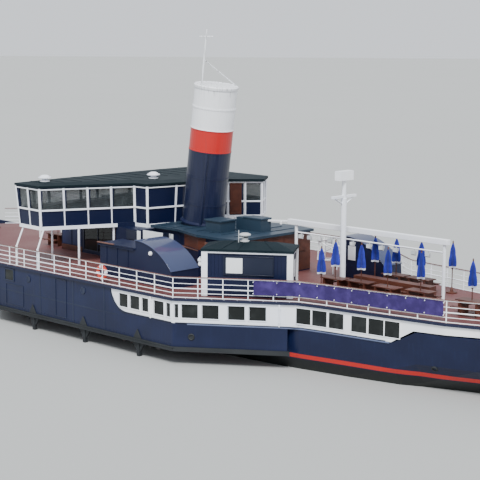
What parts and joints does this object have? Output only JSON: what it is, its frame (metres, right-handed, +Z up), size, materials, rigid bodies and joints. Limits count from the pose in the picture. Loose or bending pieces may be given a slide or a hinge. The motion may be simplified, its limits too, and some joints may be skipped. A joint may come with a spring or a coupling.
{
  "type": "paddle steamer floating bar, 1:2 scale model",
  "caption": "Side-wheel paddle steamer fitted out as a floating bar: navy hull, wide sponsons, winged bridge, raked tall funnel and open promenade deck.",
  "frame": {"origin": "amidships on the centreline at the waterline, in line with the paddle shaft", "axes": "+X to the bow, +Y to port, +Z up"},
  "size_m": [31.7, 8.6, 9.4433],
  "materials": {
    "navy_paint": "gloss navy paint over plate",
    "white_paint": "gloss white paint",
    "guard_paint": "dark grey paint, weathered",
    "deck_paint": "red-brown deck paint, worn",
    "roof_green_paint": "dark teal roof paint",
    "roof_blue_paint": "dark blue roof paint",
    "machine_steel": "oiled machine steel",
    "dark_glass": "tinted window glass",
    "varnished_wood": "varnished hardwood",
    "parasol_cloth": "blue woven cloth",
    "banner_cloth": "purple coated cloth"
  },
  "bodies": {
    "ship": {"hull": "navy_paint", "engine": "machine_steel", "sponson_port": "navy_paint", "sponson_starboard": "navy_paint", "guard_port": "guard_paint", "guard_starboard": "guard_paint", "saloon_aft": "white_paint", "saloon_fore": "white_paint", "saloon_glass_aft": "dark_glass", "saloon_glass_fore": "dark_glass", "promenade_deck": "deck_paint", "bridge_floor": "white_paint", "bridge_walls": "navy_paint", "bridge_glass": "dark_glass", "bridge_roof": "roof_green_paint", "lobby_walls": "navy_paint", "lobby_roof": "roof_green_paint", "fore_house": "navy_paint", "casing": "navy_paint", "casing_roof": "roof_blue_paint", "funnel": "navy_paint", "kiosk_walls": "navy_paint", "kiosk_roof": "roof_green_paint", "mast": "white_paint", "banner": "banner_cloth", "pergola_aft": "white_paint", "pergola_fore": "white_paint", "hood_port": "navy_paint", "hood_starboard": "navy_paint", "deck_locker": "navy_paint", "long_seat": "varnished_wood", "helm_pedestal": "varnished_wood", "deck_rail_port": "white_paint", "deck_rail_starboard": "white_paint", "table_1": "varnished_wood", "parasol_1": "parasol_cloth", "table_2": "varnished_wood", "parasol_2": "parasol_cloth", "table_3": "varnished_wood", "parasol_3": "parasol_cloth", "table_4": "varnished_wood", "parasol_4": "parasol_cloth", "table_5": "varnished_wood", "parasol_5": "parasol_cloth", "table_6": "varnished_wood", "parasol_6": "parasol_cloth", "table_7": "varnished_wood", "parasol_7": "parasol_cloth", "table_8": "varnished_wood", "parasol_8": "parasol_cloth"},
    "paddle_wheels": {"paddle_shaft": "machine_steel", "paddle_wheel_port": "machine_steel", "paddle_wheel_starboard": "machine_steel"},
    "rudder_blade": {"rudder": "navy_paint"},
    "helm": {"helm_wheel": "varnished_wood"},
    "house_door": {"fore_house_door": "varnished_wood"},
    "port_door": {"casing_door_port": "varnished_wood"},
    "starboard_door": {"casing_door_starboard": "varnished_wood"},
    "bar_door": {"kiosk_door": "navy_paint"}
  },
  "joints": [
    {"name": "paddle_shaft_turn", "type": "hinge", "parent": "ship", "child": "paddle_wheels", "pos_m": [0, 0, 0.55], "axis": [0, 1, 0], "continuous": true},
    {"name": "rudder_turn", "type": "hinge", "parent": "ship", "child": "rudder_blade", "pos_m": [-13.31, 0, -0.35], "axis": [0, 0, 1], "range_deg": [-35, 35]},
    {"name": "helm_turn", "type": "hinge", "parent": "ship", "child": "helm", "pos_m": [4.38, 0, 3.395], "axis": [1, 0, 0], "continuous": true},
    {"name": "house_door_swing", "type": "hinge", "parent": "ship", "child": "house_door", "pos_m": [3, 1.3175, 2.25], "axis": [0, 0, 1], "range_deg": [0, 90]},
    {"name": "port_door_swing", "type": "hinge", "parent": "ship", "child": "port_door", "pos_m": [-1.3, 1.6475, 2.25], "axis": [0, 0, 1], "range_deg": [0, 90]},
    {"name": "starboard_door_swing", "type": "hinge", "parent": "ship", "child": "starboard_door", "pos_m": [-1.3, -1.6475, 2.25], "axis": [0, 0, -1], "range_deg": [0, 90]},
    {"name": "bar_door_swing", "type": "hinge", "parent": "ship", "child": "bar_door", "pos_m": [-2.2729, 2.48005, 2.25], "axis": [0, 0, 1], "range_deg": [0, 90]}
  ]
}
